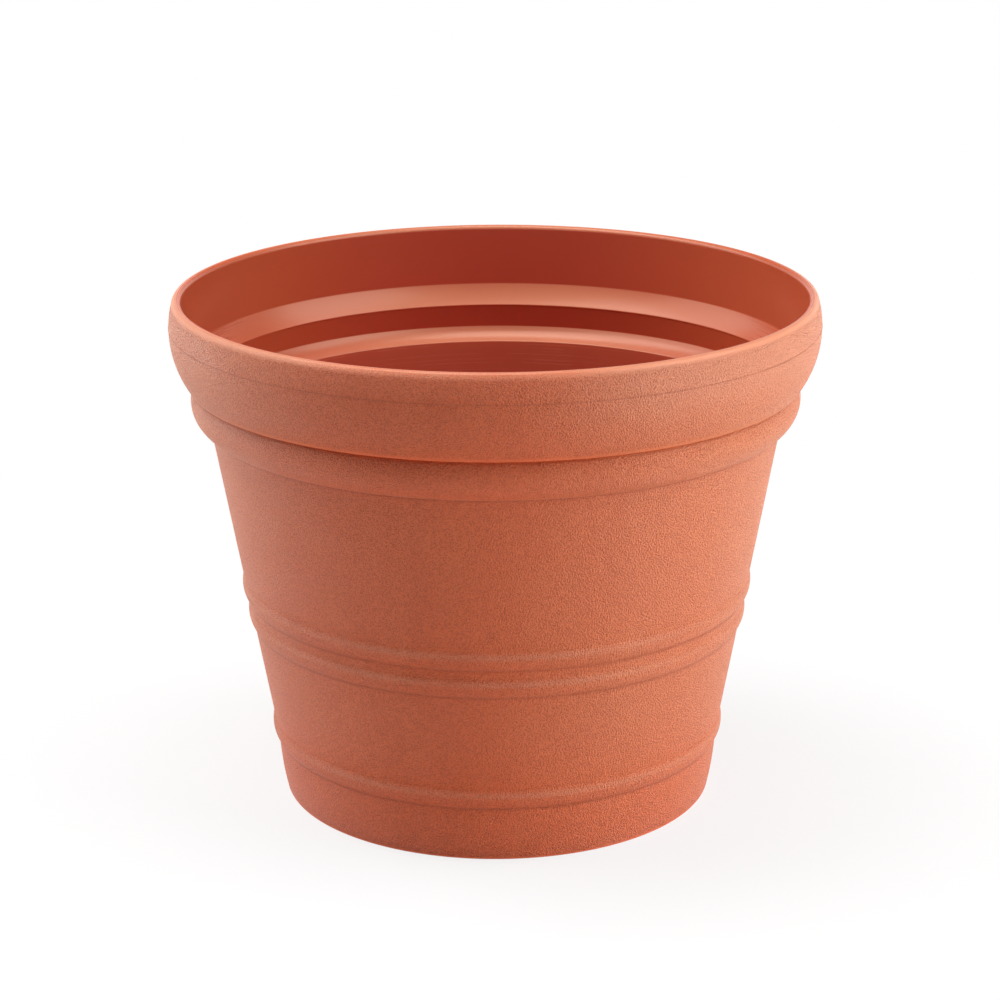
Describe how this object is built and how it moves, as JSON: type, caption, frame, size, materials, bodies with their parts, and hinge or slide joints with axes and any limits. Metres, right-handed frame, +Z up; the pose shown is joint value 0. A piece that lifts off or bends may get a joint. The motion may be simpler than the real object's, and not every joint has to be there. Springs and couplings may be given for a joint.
{
  "type": "round floor planter",
  "caption": "Round tapered plastic plant pot with a bulged rim, bead, ribs and base band, a raised floor with drain holes, and a lift-out plug in each hole.",
  "frame": {"origin": "centre of the foot ring, on the surface that the pot stands on", "axes": "+Z up along the pot's axis, towards its mouth; +X through the centre of the first drain hole"},
  "size_m": [0.5084, 0.5084, 0.405],
  "materials": {
    "terracotta_shell": "finely stippled outside, smooth inside",
    "terracotta_plug": "smooth moulded"
  },
  "bodies": {
    "pot": {"pot_shell": "terracotta_shell"},
    "plug_1": {"drain_plug_1": "terracotta_plug"},
    "plug_2": {"drain_plug_2": "terracotta_plug"},
    "plug_3": {"drain_plug_3": "terracotta_plug"},
    "plug_4": {"drain_plug_4": "terracotta_plug"},
    "plug_5": {"drain_plug_5": "terracotta_plug"},
    "plug_6": {"drain_plug_6": "terracotta_plug"}
  },
  "joints": [
    {"name": "plug_1_lift", "type": "slide", "parent": "pot", "child": "plug_1", "axis": [0, 0, 1], "range_m": [0, 0.42]},
    {"name": "plug_2_lift", "type": "slide", "parent": "pot", "child": "plug_2", "axis": [0, 0, 1], "range_m": [0, 0.42]},
    {"name": "plug_3_lift", "type": "slide", "parent": "pot", "child": "plug_3", "axis": [0, 0, 1], "range_m": [0, 0.42]},
    {"name": "plug_4_lift", "type": "slide", "parent": "pot", "child": "plug_4", "axis": [0, 0, 1], "range_m": [0, 0.42]},
    {"name": "plug_5_lift", "type": "slide", "parent": "pot", "child": "plug_5", "axis": [0, 0, 1], "range_m": [0, 0.42]},
    {"name": "plug_6_lift", "type": "slide", "parent": "pot", "child": "plug_6", "axis": [0, 0, 1], "range_m": [0, 0.42]}
  ]
}
